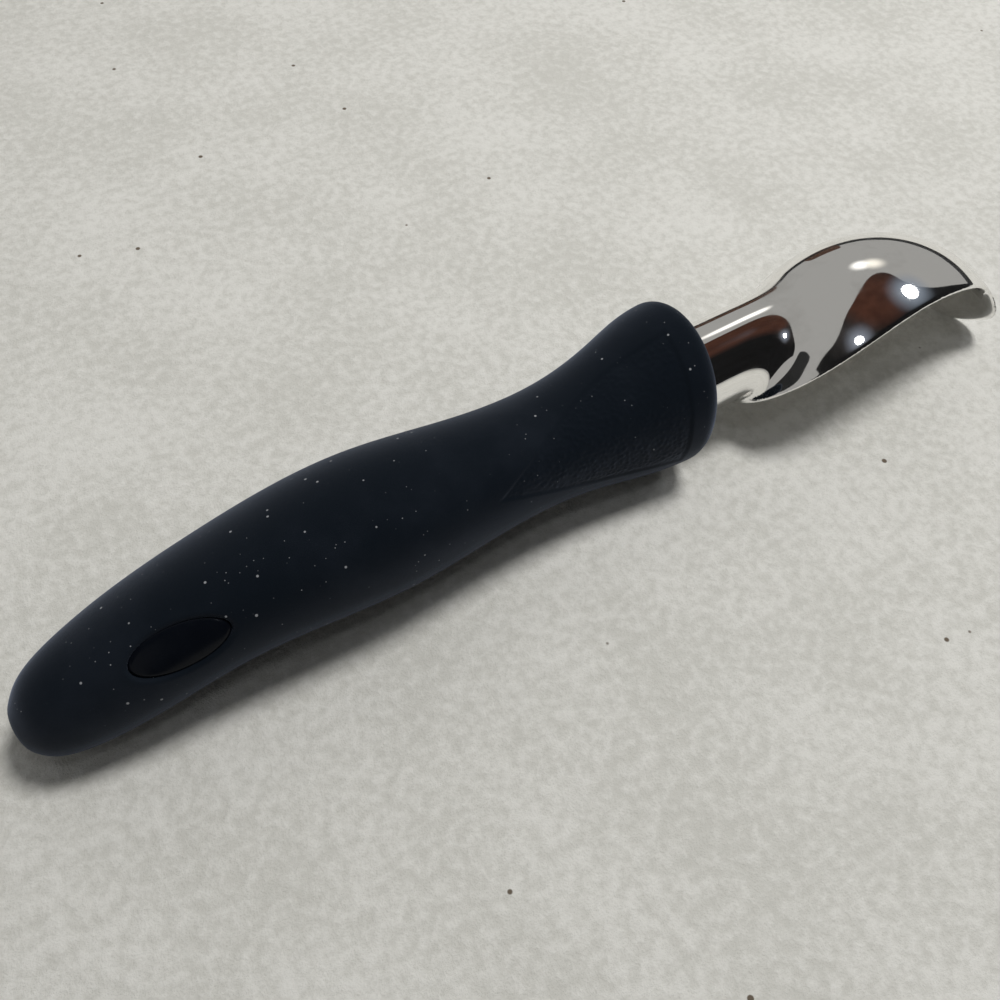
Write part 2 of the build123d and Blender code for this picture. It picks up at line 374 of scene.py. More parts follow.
hood_mesh = hood()
print("hood of", len(hood_mesh.polygons), "faces")

# %% Hang the hood
card = bpy.data.objects.new("dark_hood", hood_mesh)
bpy.context.scene.collection.objects.link(card)
card.visible_camera = False
cloth, tree, shader = new_finish("hood_cloth")
dyed = add_node(tree, "ShaderNodeAttribute", {"attribute_name": "cloth"})
fold = noise(tree, object_place(tree), 5.0, 3.0)
worn_cloth = add_node(tree, "ShaderNodeHueSaturation", Color=dyed.outputs["Color"])
tree.links.new(spread(tree, fold, 0.3, 0.7, 0.8, 1.25), worn_cloth.inputs["Value"])
tree.links.new(worn_cloth.outputs[0], shader.inputs["Base Color"])
shader.inputs["Roughness"].default_value = 0.9
hood_mesh.materials.append(cloth)
print("hood hangs", HOOD_REACH, "m from the bowl")

# %% [markdown]
# ## Cards and glows
# A photographer also holds small cards beside polished things: black ones that draw crisp
# dark lines in the metal, and lit ones that draw pale ones, such as the white line on
# the neck. Such lines could be painted on the metal itself, but then they would stay in
# place when the scoop is seen from another side, and real reflections slide. So each
# card stands in the room, between two azimuths and two elevations seen from the bowl.

# %% Shape of a card
CARD_CORNERS, CARD_SQUARENESS = 64, 0.35


def small_card(name, azimuths, elevations, distance):
    """A card with round corners, seen from the bowl between two azimuths and two elevations."""
    middle = (sum(azimuths) / 2, sum(elevations) / 2)
    half_turn = (azimuths[1] - azimuths[0]) / 2
    half_rise = (elevations[1] - elevations[0]) / 2
    points = [BOWL_SPOT + towards(*middle) * distance]
    for i in range(CARD_CORNERS):
        corner = 2 * math.pi * i / CARD_CORNERS
        c, d = math.cos(corner), math.sin(corner)
        across = half_turn * math.copysign(abs(c) ** CARD_SQUARENESS, c)
        along = half_rise * math.copysign(abs(d) ** CARD_SQUARENESS, d)
        points.append(BOWL_SPOT + towards(middle[0] + across, middle[1] + along) * distance)
    faces = [(0, i + 1, (i + 1) % CARD_CORNERS + 1) for i in range(CARD_CORNERS)]
    mesh = bpy.data.meshes.new(name)
    mesh.from_pydata(points, [], faces)
    card = bpy.data.objects.new(name, mesh)
    bpy.context.scene.collection.objects.link(card)
    card.visible_camera = False
    return card, mesh


print("cards have", CARD_CORNERS, "corners")

# %% Paint or light for a card
def painted(card, mesh, colour):
    """Gives a card dull paint of one colour, a little uneven."""
    paint, tree, shader = new_finish(card.name)
    uneven = noise(tree, object_place(tree), 6.0, 3.0)
    paler = tuple(1.3 * part for part in colour)
    tree.links.new(tint(tree, uneven, colour, paler), shader.inputs["Base Color"])
    mesh.materials.append(paint)


def glowing(card, mesh, middle, reach, brightness, colour):
    """Makes a card glow in its middle and fade away to nothing at its edge."""
    light = bpy.data.materials.new(card.name)
    light.use_nodes = True
    tree = light.node_tree
    tree.nodes.remove(tree.nodes["Principled BSDF"])
    place = object_place(tree)
    off = add_node(tree, "ShaderNodeVectorMath", {"operation": "DISTANCE"})
    tree.links.new(place, off.inputs[0])
    off.inputs[1].default_value = middle
    share = spread(tree, off.outputs["Value"], reach, reach * 0.1)
    glow = add_node(tree, "ShaderNodeEmission", Color=(*colour, 1.0), Strength=brightness)
    clear = tree.nodes.new("ShaderNodeBsdfTransparent")
    mixed = tree.nodes.new("ShaderNodeMixShader")
    for socket, output in zip(mixed.inputs, (share, clear.outputs[0], glow.outputs[0])):
        tree.links.new(output, socket)
    tree.links.new(mixed.outputs[0], tree.nodes["Material Output"].inputs["Surface"])
    mesh.materials.append(light)


print("cards can be painted or lit")

# %% Hang the cards
BLACK, BROWN = (0.010, 0.011, 0.014), (0.10, 0.045, 0.028)
GLOW_DISTANCE = 1.02
for name, azimuths, elevations, distance, colour in (
    ("upright_card", (260, 283), (10, 52), 0.24, BLACK),
    ("low_card", (8, 92), (-4.5, 2.0), 0.42, BLACK),
    ("brown_card", (26, 40), (-8, 9), 0.40, BROWN),
):
    painted(*small_card(name, azimuths, elevations, distance), colour)

for name, azimuth, elevation, angle, brightness, colour in (
    ("cream_glow", 56, 39, 8, 1.1, (1.0, 0.95, 0.85)),
    ("neck_glow", 48, 41.5, 7, 1.7, (1.0, 0.98, 0.94)),
    ("side_glow", 94, 44.5, 16, 0.30, (0.70, 0.82, 1.0)),
    ("front_glow", 175, 71.5, 14, 0.26, (0.74, 0.82, 1.0)),
):
    wide = angle / math.cos(math.radians(elevation))
    azimuths, elevations = (azimuth - wide, azimuth + wide), (elevation - angle, elevation + angle)
    card, mesh = small_card(name, azimuths, elevations, GLOW_DISTANCE)
    middle = BOWL_SPOT + towards(azimuth, elevation) * GLOW_DISTANCE
    glowing(card, mesh, middle, math.radians(angle), brightness, colour)
    card.visible_shadow = False
print("3 cards and 4 glows hung")

# %% [markdown]
# ## The scoop's own axes
# The scoop is easiest to describe lying straight: long axis along X, the end of the
# grip at X = 0, the back of the bowl up, the badge on the side of minus Y. It rests
# rolled over on to the rim of its bowl. These helpers turn points from the straight
# position, in millimetres, into the row frame, in metres, and back. The two tang
# pins tell where the frame has put the scoop.

# %% Axes
MM = 0.001
REST_ROLL = 40.14
REST_PITCH = 1.97
PINS_MIDDLE = (81.0, 0.0, 0.6)

pitch = Matrix.Rotation(math.radians(-REST_PITCH), 3, "Y")
roll = Matrix.Rotation(math.radians(-REST_ROLL), 3, "X")
TURN = np.array(pitch @ roll)
pins_low, pins_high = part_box("tang_pins")
SHIFT = np.array((pins_low + pins_high) / 2) - TURN @ np.array(PINS_MIDDLE) * MM


def lay_down(points):
    """Straight position in millimetres to the row frame in metres."""
    return points * MM @ TURN.T + SHIFT


def stand_up(points):
    """Row frame in metres to the straight position in millimetres."""
    return (points - SHIFT) @ TURN / MM


print("scoop placed at", np.round(SHIFT, 4))

# %% [markdown]
# ## Metal head
# The bowl, the neck and their soft meeting are one polished casting, and its mirror
# finish shows every dent in a mesh. So the shape is written as a distance: a formula
# that is below zero inside the metal and above zero outside. An egg and a leaning
# bar are blended where they meet, a smaller egg is taken out, and everything below
# the arched rim line is cut away with a softened edge. A copy of the CAD node,
# remeshed evenly, is then relaxed and pulled on to the surface where that distance is
# zero. Turned or subdivided shapes would need a seam where the neck melts into the bowl.

# %% Head sizes, in millimetres
BOWL_CENTRE = np.array((177.0, 0.0, -22.0))
BOWL_FRONT, BOWL_BACK = 37.4, 33.0
BOWL_HALF_WIDTH, BOWL_CROWN, CROWN_REACH = 24.6, 33.6, 20.0
BOWL_WALL, HEEL_WALL, CROWN_WALL = 1.9, 4.0, 2.6
QUARTER_ROUND = 0.5523
NECK_START = np.array((121.0, 0.0, 0.0))
NECK_RADIUS = 9.0
NECK_DROOP = math.radians(1.1)
NECK_END = 56.0
NECK_BLEND, THROAT_BLEND, LEAST_BLEND = 25.0, 3.0, 0.05
RIM_EDGE = 1.5
RIM_STATIONS = [  # place along the scoop, height of the rim
    (136.4, -14.5), (159.4, -6.8), (179.4, -3.6), (196.4, -5.9),
    (207.9, -12.3), (213.0, -19.6), (216.4, -22.4),
]
print("bowl reaches", BOWL_FRONT + BOWL_BACK, "mm from heel to tip")

# %% Distance to an egg
def bezier(points, samples=1500):
    """Cubic curve with two ends and two handles."""
    t = np.linspace(0, 1, samples)[:, None]
    a, b, c, d = (np.array(p, float) for p in points)
    return (1 - t) ** 3 * a + 3 * (1 - t) ** 2 * t * b + 3 * (1 - t) * t**2 * c + t**3 * d


def egg(front, back, half_width, crown):
    """Distance to an egg turned about its long axis and narrowed sideways."""
    shoulder = QUARTER_ROUND * crown
    tip = bezier([(front, 0), (front, shoulder), (CROWN_REACH, crown), (0, crown)])
    heel = bezier([(0, crown), (-CROWN_REACH, crown), (-back, shoulder), (-back, 0)])
    outline = np.vstack([tip, heel[1:]])
    turn = np.arctan2(outline[:, 1], outline[:, 0])
    reach = np.hypot(outline[:, 0], outline[:, 1])
    narrow = crown / half_width

    def distance(points):
        along, across, up = (points - BOWL_CENTRE).T
        out = np.hypot(across * narrow, up)
        far = np.hypot(along, out)
        slope = np.sqrt(along**2 + (across * narrow**2) ** 2 + up**2) / np.maximum(far, 0.1)
        return (far - np.interp(np.arctan2(out, along), turn, reach)) / slope

    return distance


outer_egg = egg(BOWL_FRONT, BOWL_BACK, BOWL_HALF_WIDTH, BOWL_CROWN)
hollow_egg = egg(
    BOWL_FRONT - BOWL_WALL,
    BOWL_BACK - HEEL_WALL,
    BOWL_HALF_WIDTH - BOWL_WALL,
    BOWL_CROWN - CROWN_WALL,
)
crown_top = BOWL_CENTRE[None] + (0, 0, BOWL_CROWN)
print("wall at the crown:", round(float(hollow_egg(crown_top)[0]), 2), "mm")

# %% Distances to the neck and the rim
def neck(points):
    """Distance to the bar that leans a little towards the hollow side, and its way out."""
    lean = np.array((math.cos(NECK_DROOP), 0, -math.sin(NECK_DROOP)))
    offset = points - NECK_START
    along = offset @ lean
    out = offset - along[:, None] * lean
    size = np.linalg.norm(out, axis=1)
    way = out / np.maximum(size, 0.1)[:, None]
    return np.maximum(size - NECK_RADIUS, along - NECK_END), way


rim_line = batten(RIM_STATIONS)
rim_slope = np.gradient(rim_line[:, 1], rim_line[:, 0])


def below_rim(points):
    """How far a point lies below the rim line, square to it."""
    height = np.interp(points[:, 0], rim_line[:, 0], rim_line[:, 1])
    slope = np.interp(points[:, 0], rim_line[:, 0], rim_slope)
    return (height - points[:, 2]) / np.hypot(1, slope)


print("rim's highest place:", round(float(rim_line[:, 1].max()), 1), "mm")

# %% Melt the forms together
def blend(first, second, width):
    """The smaller of two distances, with a smooth fillet of a given width where they meet."""
    near = np.maximum(width - np.abs(first - second), 0) / width
    return np.minimum(first, second) - near**3 * width / 6


def trim(first, second, width):
    """The larger of two distances, with the edge between them rounded over."""
    return -blend(-first, -second, width)


def head_distance(points):
    """Distance to the finished casting: below zero inside the metal."""
    bar, bar_way = neck(points)
    egg_way = (points - BOWL_CENTRE) / (BOWL_BACK**2, BOWL_HALF_WIDTH**2, BOWL_CROWN**2)
    egg_way /= np.linalg.norm(egg_way, axis=1)[:, None]
    bend = 1 - (bar_way * egg_way).sum(1)
    top_side = np.clip((points[:, 2] + NECK_RADIUS) / (2 * NECK_RADIUS), 0, 1)
    width = (THROAT_BLEND + (NECK_BLEND - THROAT_BLEND) * top_side) * bend + LEAST_BLEND
    solid = blend(outer_egg(points), bar, width)
    wall = np.maximum(solid, -hollow_egg(points))
    return trim(wall, below_rim(points), RIM_EDGE)


def head_gradient(points, step=0.02):
    """Direction in which the distance grows fastest, from small steps each way."""
    slopes = []
    for axis in np.eye(3) * step:
        slopes.append((head_distance(points + axis) - head_distance(points - axis)) / (2 * step))
    return np.stack(slopes, axis=1)


print("head at the crown's top:", round(float(head_distance(crown_top)[0]), 3), "mm off the metal")

# %% Helpers for pieces
def new_piece(name, mesh):
    """A shown object for a mesh, at the origin."""
    piece = bpy.data.objects.new(name, mesh)
    bpy.context.scene.collection.objects.link(piece)
    return piece


def merged_copy(node):
    """A CAD node's mesh as one closed skin instead of loose triangles."""
    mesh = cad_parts[node].data.copy()
    mesh.materials.clear()
    skin = bmesh.new()
    skin.from_mesh(mesh)
    bmesh.ops.remove_doubles(skin, verts=skin.verts, dist=1e-6)
    skin.to_mesh(mesh)
    skin.free()
    return mesh


def settled(piece):
    """A plain mesh of a piece with its modifiers worked in."""
    view = bpy.context.evaluated_depsgraph_get()
    mesh = bpy.data.meshes.new_from_object(piece.evaluated_get(view), depsgraph=view)
    piece.modifiers.clear()
    piece.data = mesh
    return mesh


def mesh_points(mesh):
    """All points of a mesh as rows."""
    points = np.zeros(len(mesh.vertices) * 3)
    mesh.vertices.foreach_get("co", points)
    return points.reshape(-1, 3)


print("helpers for pieces")

# %% Even copy of the CAD head
HEAD_VOXEL = 0.00042

head = new_piece("polished_head", merged_copy("scoop_head"))
even = head.modifiers.new("even skin", "REMESH")
even.mode = "VOXEL"
even.voxel_size = HEAD_VOXEL
head_mesh = settled(head)
print("head:", len(head_mesh.polygons), "even faces")

# %% Relax the skin and pull it on to the surface
RELAX_ROUNDS, PULL_ROUNDS = 9, 15
PULL_FROM_X = 122.0
LONGEST_STEP = 0.4


def relaxed(points, edges):
    """Each point moved half way to the middle of its neighbours, which evens the mesh."""
    total = np.zeros_like(points)
    np.add.at(total, edges[:, 0], points[edges[:, 1]])
    np.add.at(total, edges[:, 1], points[edges[:, 0]])
    return points / 2 + total / (2 * np.bincount(edges.ravel(), minlength=len(points))[:, None])


edges = np.zeros(len(head_mesh.edges) * 2, int)
head_mesh.edges.foreach_get("vertices", edges)
edges = edges.reshape(-1, 2)
points = stand_up(mesh_points(head_mesh))
shown = points[:, 0] > PULL_FROM_X
for lap in range(PULL_ROUNDS):
    if lap < RELAX_ROUNDS:
        points[shown] = relaxed(points, edges)[shown]
    moved = points[shown]
    slope = head_gradient(moved)
    step = head_distance(moved)[:, None] * slope / np.maximum((slope**2).sum(1), 0.2)[:, None]
    moved = moved - np.clip(step, -LONGEST_STEP, LONGEST_STEP)
    points[shown] = moved
head_mesh.vertices.foreach_set("co", lay_down(points).ravel())
head_mesh.update()
print("left over:", round(float(np.abs(head_distance(moved)).max()), 4), "mm")

# %% Shade the head by the formula's own slope
SHADE_STEP = 0.2

facing = np.zeros(len(head_mesh.vertices) * 3)
head_mesh.vertices.foreach_get("normal", facing)
facing = facing.reshape(-1, 3)
true_facing = head_gradient(moved, SHADE_STEP)
true_facing /= np.linalg.norm(true_facing, axis=1)[:, None]
facing[shown] = true_facing @ TURN.T
head_mesh.shade_smooth()
head_mesh.normals_split_custom_set_from_vertices(facing.tolist())
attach(head, "root")
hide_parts("scoop_head")
print("head shaded at", int(shown.sum()), "points")

# %% [markdown]
# ## Polished metal
# The casting is buffed to a mirror. A perfect mirror looks like a drawing, so the tree
# adds what buffing leaves: a very shallow waviness that bends the reflections, hairline
# scratches that only show near a lamp, and faint smears that blur the shine in patches.

# %% Polished metal finish
METAL_COLOUR = (0.94, 0.93, 0.91)
METAL_SMEAR = (0.84, 0.83, 0.805)
BUFFED_WAVE, SCRATCH_DEPTH = 0.00006, 0.0000004
SMEAR_SCALE, SCRATCH_SCALE, WAVE_SCALE = 90.0, 700.0, 110.0

metal, tree, shader = new_finish("polished_casting")
place = object_place(tree)
smear = spread(tree, noise(tree, place, SMEAR_SCALE, 4.0, 0.6), 0.48, 0.72)
tree.links.new(tint(tree, smear, METAL_COLOUR, METAL_SMEAR), shader.inputs["Base Color"])
scratch_way = add_node(
    tree, "ShaderNodeMapping", Vector=place, Rotation=(0.3, 0.5, 0.9), Scale=(1, 14, 14)
)
scratch = noise(tree, scratch_way.outputs[0], SCRATCH_SCALE, 3.0, 0.7)
rough = sums(tree, "MULTIPLY_ADD", smear, 0.07, sums(tree, "MULTIPLY_ADD", scratch, 0.05, 0.012))
tree.links.new(rough, shader.inputs["Roughness"])
wave = noise(tree, place, WAVE_SCALE, 1.0, 0.4)
waved = bump(tree, wave, BUFFED_WAVE)
tree.links.new(bump(tree, scratch, SCRATCH_DEPTH, 1.0, waved), shader.inputs["Normal"])
shader.inputs["Metallic"].default_value = 1.0
tree.links.new(spread(tree, smear, 0.0, 1.0, 0.35, 0.9), shader.inputs["Coat Weight"])
shader.inputs["Coat Roughness"].default_value = 0.28
shader.inputs["Coat IOR"].default_value = 1.45
head_mesh.materials.clear()
head_mesh.materials.append(metal)
print("polished metal on", head.name)

# %% [markdown]
# ## Rubber grip
# The grip is a soft sleeve whose oval sections swell for the palm, narrow at the waist
# and flare to a collar with a slanted, rounded end. A block could be sculpted to this
# form, but every section is an oval, so the skin is written as a grid of rows along the
# length and columns round it. That gives small even faces where the badge window and
# the grain need them, and fewer elsewhere.

# %% Grip sizes, in millimetres
GRIP_LENGTH = 134.0
GRIP_STATIONS = [  # place along the grip, half width, height of the back, depth of the belly
    (-0.2, 3.0, 0.2, 6.0),
    (3.5, 7.4, 4.6, 9.4),
    (12.0, 10.9, 8.4, 10.9),
    (38.0, 15.4, 13.5, 9.3),
    (66.0, 16.2, 15.1, 11.4),
    (90.0, 14.2, 11.8, 10.5),
    (107.0, 13.2, 11.3, 11.8),
    (120.0, 13.8, 13.9, 14.6),
    (128.5, 15.2, 16.1, 15.5),
    (140.0, 15.8, 16.3, 15.8),
]
COLLAR_SLANT = math.tan(math.radians(8.4))
COLLAR_ROUND = 4.0
NOSE_REACH = 1.0
NOSE_FULLNESS = 3.2
SKIN = 2.8
NECK_GAP = 0.1
HOLE_ROUND = 0.5
CORE_END_X, CORE_SETBACK = 12.0, 5.0
print("grip", GRIP_LENGTH, "mm long, skin", SKIN, "mm thick")

# %% Sections of the grip
sections = batten(GRIP_STATIONS)


def section(x):
    """Half width, middle and half height of the grip at places along it."""
    half_width, rise, drop = (np.interp(x, sections[:, 0], sections[:, i]) for i in (1, 2, 3))
    return half_width, (rise - drop) / 2, (rise + drop) / 2


def on_skin(x, angle, inset):
    """Points on the grip at an angle round its axis, brought in by an inset."""
    half_width, middle, half_height = section(x)
    side, up = np.cos(angle), np.sin(angle)
    square = np.stack([side / half_width, up / half_height])
    square = square / np.linalg.norm(square, axis=0)
    y = half_width * side - inset * square[0]
    z = middle + half_height * up - inset * square[1]
    return np.stack([x, y, z], -1)


print("palm", round(float(2 * section(GRIP_STATIONS[4][0])[0]), 1), "mm wide")

# %% Rows from the end of the palm to the collar
COLUMNS = 288
STRETCHES = [  # start, stop and distance between the rows
    (NOSE_REACH, 8, 0.5), (8, 18, 0.8), (18, 38.5, 0.3), (38.5, 83, 1.0),
    (83, GRIP_LENGTH - COLLAR_ROUND, 0.3),
]
LEAN_START, LEAN_RUN = 95, 30
angles = np.linspace(0, 2 * math.pi, COLUMNS, endpoint=False)


def slanted_row(setback, inset):
    """A row at a setback behind the slanted end of the collar."""
    x = np.full(COLUMNS, GRIP_LENGTH - setback)
    for _ in range(4):
        x = GRIP_LENGTH - setback + on_skin(x, angles, inset)[:, 2] * COLLAR_SLANT
    return on_skin(x, angles, inset)


def outer_rows():
    """Rows over the nose and along the length, leaning over to the slant of the collar."""
    rows = []
    for share in np.linspace(0.1, 0.9, 9):
        x = GRIP_STATIONS[0][0] + (NOSE_REACH - GRIP_STATIONS[0][0]) * share**NOSE_FULLNESS
        row = on_skin(np.full(COLUMNS, NOSE_REACH), angles, 0.0)
        middle = section(NOSE_REACH)[1]
        row[:, 1:] = (0, middle) + (row[:, 1:] - (0, middle)) * share
        row[:, 0] = x
        rows.append(row)
    for start, stop, apart in STRETCHES:
        for x in np.linspace(start, stop, round((stop - start) / apart), endpoint=False):
            lean = np.clip((x - LEAN_START) / LEAN_RUN, 0, 1)
            lean = lean * lean * (3 - 2 * lean) * COLLAR_SLANT
            place_x = np.full(COLUMNS, x)
            for _ in range(4):
                place_x = x + on_skin(place_x, angles, 0.0)[:, 2] * lean
            rows.append(on_skin(place_x, angles, 0.0))
    return rows


outer = np.array(outer_rows())
print("grip:", len(outer), "rows outside")

# %% Rows round the collar and back inside
INSIDE_SLANT_FROM = 110


def collar_rows():
    """Rows round the collar's edge, over its flat end, into the neck hole and back inside."""
    rows = []
    for turn in np.radians(np.linspace(0, 90, 11)):
        back, inset = COLLAR_ROUND * (1 - math.sin(turn)), COLLAR_ROUND * (1 - math.cos(turn))
        rows.append(slanted_row(back, inset))
    edge = rows[-1]

    def round_row(radius, setback):
        drop = NECK_START[2] - (GRIP_LENGTH - NECK_START[0]) * math.tan(NECK_DROOP)
        y, z = radius * np.cos(angles), drop + radius * np.sin(angles)
        return np.stack([GRIP_LENGTH - setback + z * COLLAR_SLANT, y, z], -1)

    bore = NECK_RADIUS + NECK_GAP
    lip = round_row(bore + HOLE_ROUND, 0.0)
    for share in (0.25, 0.5, 0.75, 1.0):
        rows.append(edge + (lip - edge) * share)
    for turn in np.radians((30, 60, 90)):
        radius = bore + HOLE_ROUND * (1 - math.sin(turn))
        rows.append(round_row(radius, HOLE_ROUND * (1 - math.cos(turn))))
    rows.append(round_row(bore, CORE_SETBACK))
    for x in np.linspace(GRIP_LENGTH - CORE_SETBACK, CORE_END_X, 20):
        if x > INSIDE_SLANT_FROM:
            rows.append(slanted_row(GRIP_LENGTH - x, SKIN))
        else:
            rows.append(on_skin(np.full(COLUMNS, x), angles, SKIN))
    return rows


inner = np.array(collar_rows())
print("grip:", len(inner), "rows round the collar and inside")

# %% [markdown]
# ## Badge window and grain panels
# The rubber is sunk in two places. An oval window on the near side lets the badge show,
# and its edge is rounded over. On both sides a leaf-shaped panel near the collar is
# grained for the fingers. A Boolean could cut them, but leaves ragged faces along the
# edge. So each row is bent down instead, by how far a point lies inside an outline seen
# from the side. The same distance becomes an attribute that the grain reads later.

# %% Outlines of the window and the panels
BADGE_X, BADGE_RISE = 28.0, 1.9
BADGE_LENGTH, BADGE_HEIGHT, BADGE_GAP = 16.4, 7.4, 0.1
WINDOW_ROUND, WINDOW_DEPTH, WINDOW_WALL = 0.8, 2.2, 0.25
PANEL_DEPTH, PANEL_EDGE = 0.3, 0.7
PANEL_POINT, PANEL_MIDDLE = (84.5, -0.6), (104.0, 7.4)
PANEL_FRONT_X, PANEL_FRONT_HEIGHT = 127.0, 13.0

panel_slant = PANEL_FRONT_HEIGHT * COLLAR_SLANT
panel_top = batten([PANEL_POINT, PANEL_MIDDLE, (PANEL_FRONT_X + panel_slant, PANEL_FRONT_HEIGHT)])
panel_foot = batten([
    PANEL_POINT,
    (PANEL_MIDDLE[0], -PANEL_MIDDLE[1]),
    (PANEL_FRONT_X - panel_slant, -PANEL_FRONT_HEIGHT),
])


def inside_panel(x, z):
    """How deep a point lies inside the leaf outline, in millimetres."""
    top = np.interp(x, panel_top[:, 0], panel_top[:, 1])
    foot = np.interp(x, panel_foot[:, 0], panel_foot[:, 1])
    front = PANEL_FRONT_X + z * COLLAR_SLANT
    deep = np.minimum(np.minimum(top - z, z - foot), front - x)
    return np.where(x < PANEL_POINT[0], -1.0, deep)


def outside_window(x, z):
    """How far a point lies outside the oval window, in millimetres."""
    a, b = BADGE_LENGTH / 2 + BADGE_GAP, BADGE_HEIGHT / 2 + BADGE_GAP
    u, v = (x - BADGE_X) / a, (z - BADGE_RISE) / b
    size = np.hypot(u, v)
    slope = np.hypot(u / a, v / b) / np.maximum(size, 0.05)
    return (size - 1) / np.maximum(slope, 0.02)


print("panel", round(PANEL_FRONT_X - PANEL_POINT[0], 1), "mm long")

# %% Sink the window and the panels
def smooth(share):
    """Goes from 0 to 1 with soft ends."""
    share = np.clip(share, 0, 1)
    return share * share * (3 - 2 * share)


def sunk(rows):
    """Sinks rows into the window and the panels, and says how grained each point is."""
    x, y, z = rows[..., 0], rows[..., 1], rows[..., 2]
    panel = inside_panel(x, z)
    away = outside_window(x, z)
    near = y < 0
    over_edge = np.clip(WINDOW_ROUND - away, 0, WINDOW_ROUND)
    corner = WINDOW_ROUND - np.sqrt(np.maximum(WINDOW_ROUND**2 - over_edge**2, 0))
    wall = WINDOW_ROUND + (WINDOW_DEPTH - WINDOW_ROUND) * np.clip(-away / WINDOW_WALL, 0, 1)
    window = np.where(away < 0, wall, corner)
    depth = PANEL_DEPTH * smooth(panel / PANEL_EDGE) + np.where(near, window, 0)
    half_width, middle, half_height = section(x)
    square = np.stack([y / half_width**2, (z - middle) / half_height**2], -1)
    square /= np.linalg.norm(square, axis=-1)[..., None]
    rows[..., 1:] -= square * depth[..., None]
    return rows, smooth(panel / (2 * PANEL_EDGE))


outer, grained = sunk(outer)
print("grained points:", int((grained > 0.5).sum()))

# %% A closed skin from rows
def skin_of_rows(name, rows, ends):
    """Quads between neighbouring rows, closed by a point at each end, facing outwards."""
    count, columns = rows.shape[:2]
    start_of_row = np.arange(count - 1)[:, None] * columns
    here = start_of_row + np.arange(columns)
    after = start_of_row + np.roll(np.arange(columns), -1)
    faces = np.stack([here, after, after + columns, here + columns], -1).reshape(-1, 4).tolist()
    start, stop, last = count * columns, count * columns + 1, (count - 1) * columns
    for i in range(columns):
        j = (i + 1) % columns
        faces += [(start, j, i), (stop, last + i, last + j)]
    mesh = bpy.data.meshes.new(name)
    mesh.from_pydata(lay_down(np.vstack([rows.reshape(-1, 3), ends])).tolist(), [], faces)
    skin = bmesh.new()
    skin.from_mesh(mesh)
    bmesh.ops.recalc_face_normals(skin, faces=skin.faces)
    skin.to_mesh(mesh)
    skin.free()
    mesh.shade_smooth()
    return mesh


print("rows have", COLUMNS, "columns")

# %% Weave the grip
grip_rows = np.concatenate([outer, inner])
nose = (GRIP_STATIONS[0][0], 0, section(NOSE_REACH)[1])
inside_end = (CORE_END_X, 0, section(CORE_END_X)[1])
grip_mesh = skin_of_rows("rubber_grip", grip_rows, [nose, inside_end])
grain_share = np.zeros(len(grip_mesh.vertices))
grain_share[: grained.size] = grained.ravel()
grip_mesh.attributes.new("grained", "FLOAT", "POINT").data.foreach_set("value", grain_share)
grip = new_piece("rubber_grip", grip_mesh)
print("grip:", len(grip_mesh.polygons), "faces")

# %% [markdown]
# ## Soft black rubber
# The rubber is nearly black with a cold blue cast, matt, with a soft sheen where light
# grazes it. One flat black would look like a hole in the picture, so worn patches are a
# little paler, and a fine even tooth keeps the highlights broad. Pale dust clings to
# rubber, so tiny specks of two sizes are scattered through the colour.

# %% Rubber finish
RUBBER = (0.0054, 0.0082, 0.0125)
RUBBER_WORN = (0.0095, 0.0130, 0.0190)
DUST = (0.30, 0.31, 0.33)
RUBBER_TOOTH = 0.00005
WORN_SCALE, BIG_DUST_SCALE, SMALL_DUST_SCALE, TOOTH_SCALE = 60.0, 260.0, 700.0, 5200.0

rubber, tree, shader = new_finish("soft_black_rubber")
place = object_place(tree)
worn = spread(tree, noise(tree, place, WORN_SCALE, 4.0, 0.6), 0.4, 0.75)
base = tint(tree, worn, RUBBER, RUBBER_WORN)
big_dust = spread(tree, cells(tree, place, BIG_DUST_SCALE), 0.075, 0.045)
small_dust = spread(tree, cells(tree, place, SMALL_DUST_SCALE), 0.09, 0.05)
patchy = spread(tree, noise(tree, place, 120.0, 2.0), 0.45, 0.65)
dust = sums(tree, "MAXIMUM", big_dust, sums(tree, "MULTIPLY", small_dust, patchy))
tree.links.new(tint(tree, dust, base, DUST), shader.inputs["Base Color"])
tooth = noise(tree, place, TOOTH_SCALE, 3.0, 0.6)
tree.links.new(sums(tree, "MULTIPLY_ADD", worn, -0.08, 0.62), shader.inputs["Roughness"])
tree.links.new(bump(tree, tooth, RUBBER_TOOTH, 0.8), shader.inputs["Normal"])
shader.inputs["Specular IOR Level"].default_value = 0.06
shader.inputs["Sheen Weight"].default_value = 0.30
shader.inputs["Sheen Roughness"].default_value = 0.4
shader.inputs["Sheen Tint"].default_value = (0.55, 0.65, 0.9, 1.0)
print("rubber mixed")

# %% [markdown]
# ## Moulded grain
# The panels have the wrinkled grain of leather, moulded into the rubber. A bump in the
# finish would fake it, but not at an edge or in an exported mesh. So points are moved,
# with Geometry Nodes: cells with creases between them, bent by noise so that no cell
# looks drawn, raised along the surface's own direction, and only where the attribute
# says the rubber is grained.

# %% Grain tree
WARP_SCALE, WARP_REACH = 0.7, 1.1
CREASE_WIDTH = 0.32


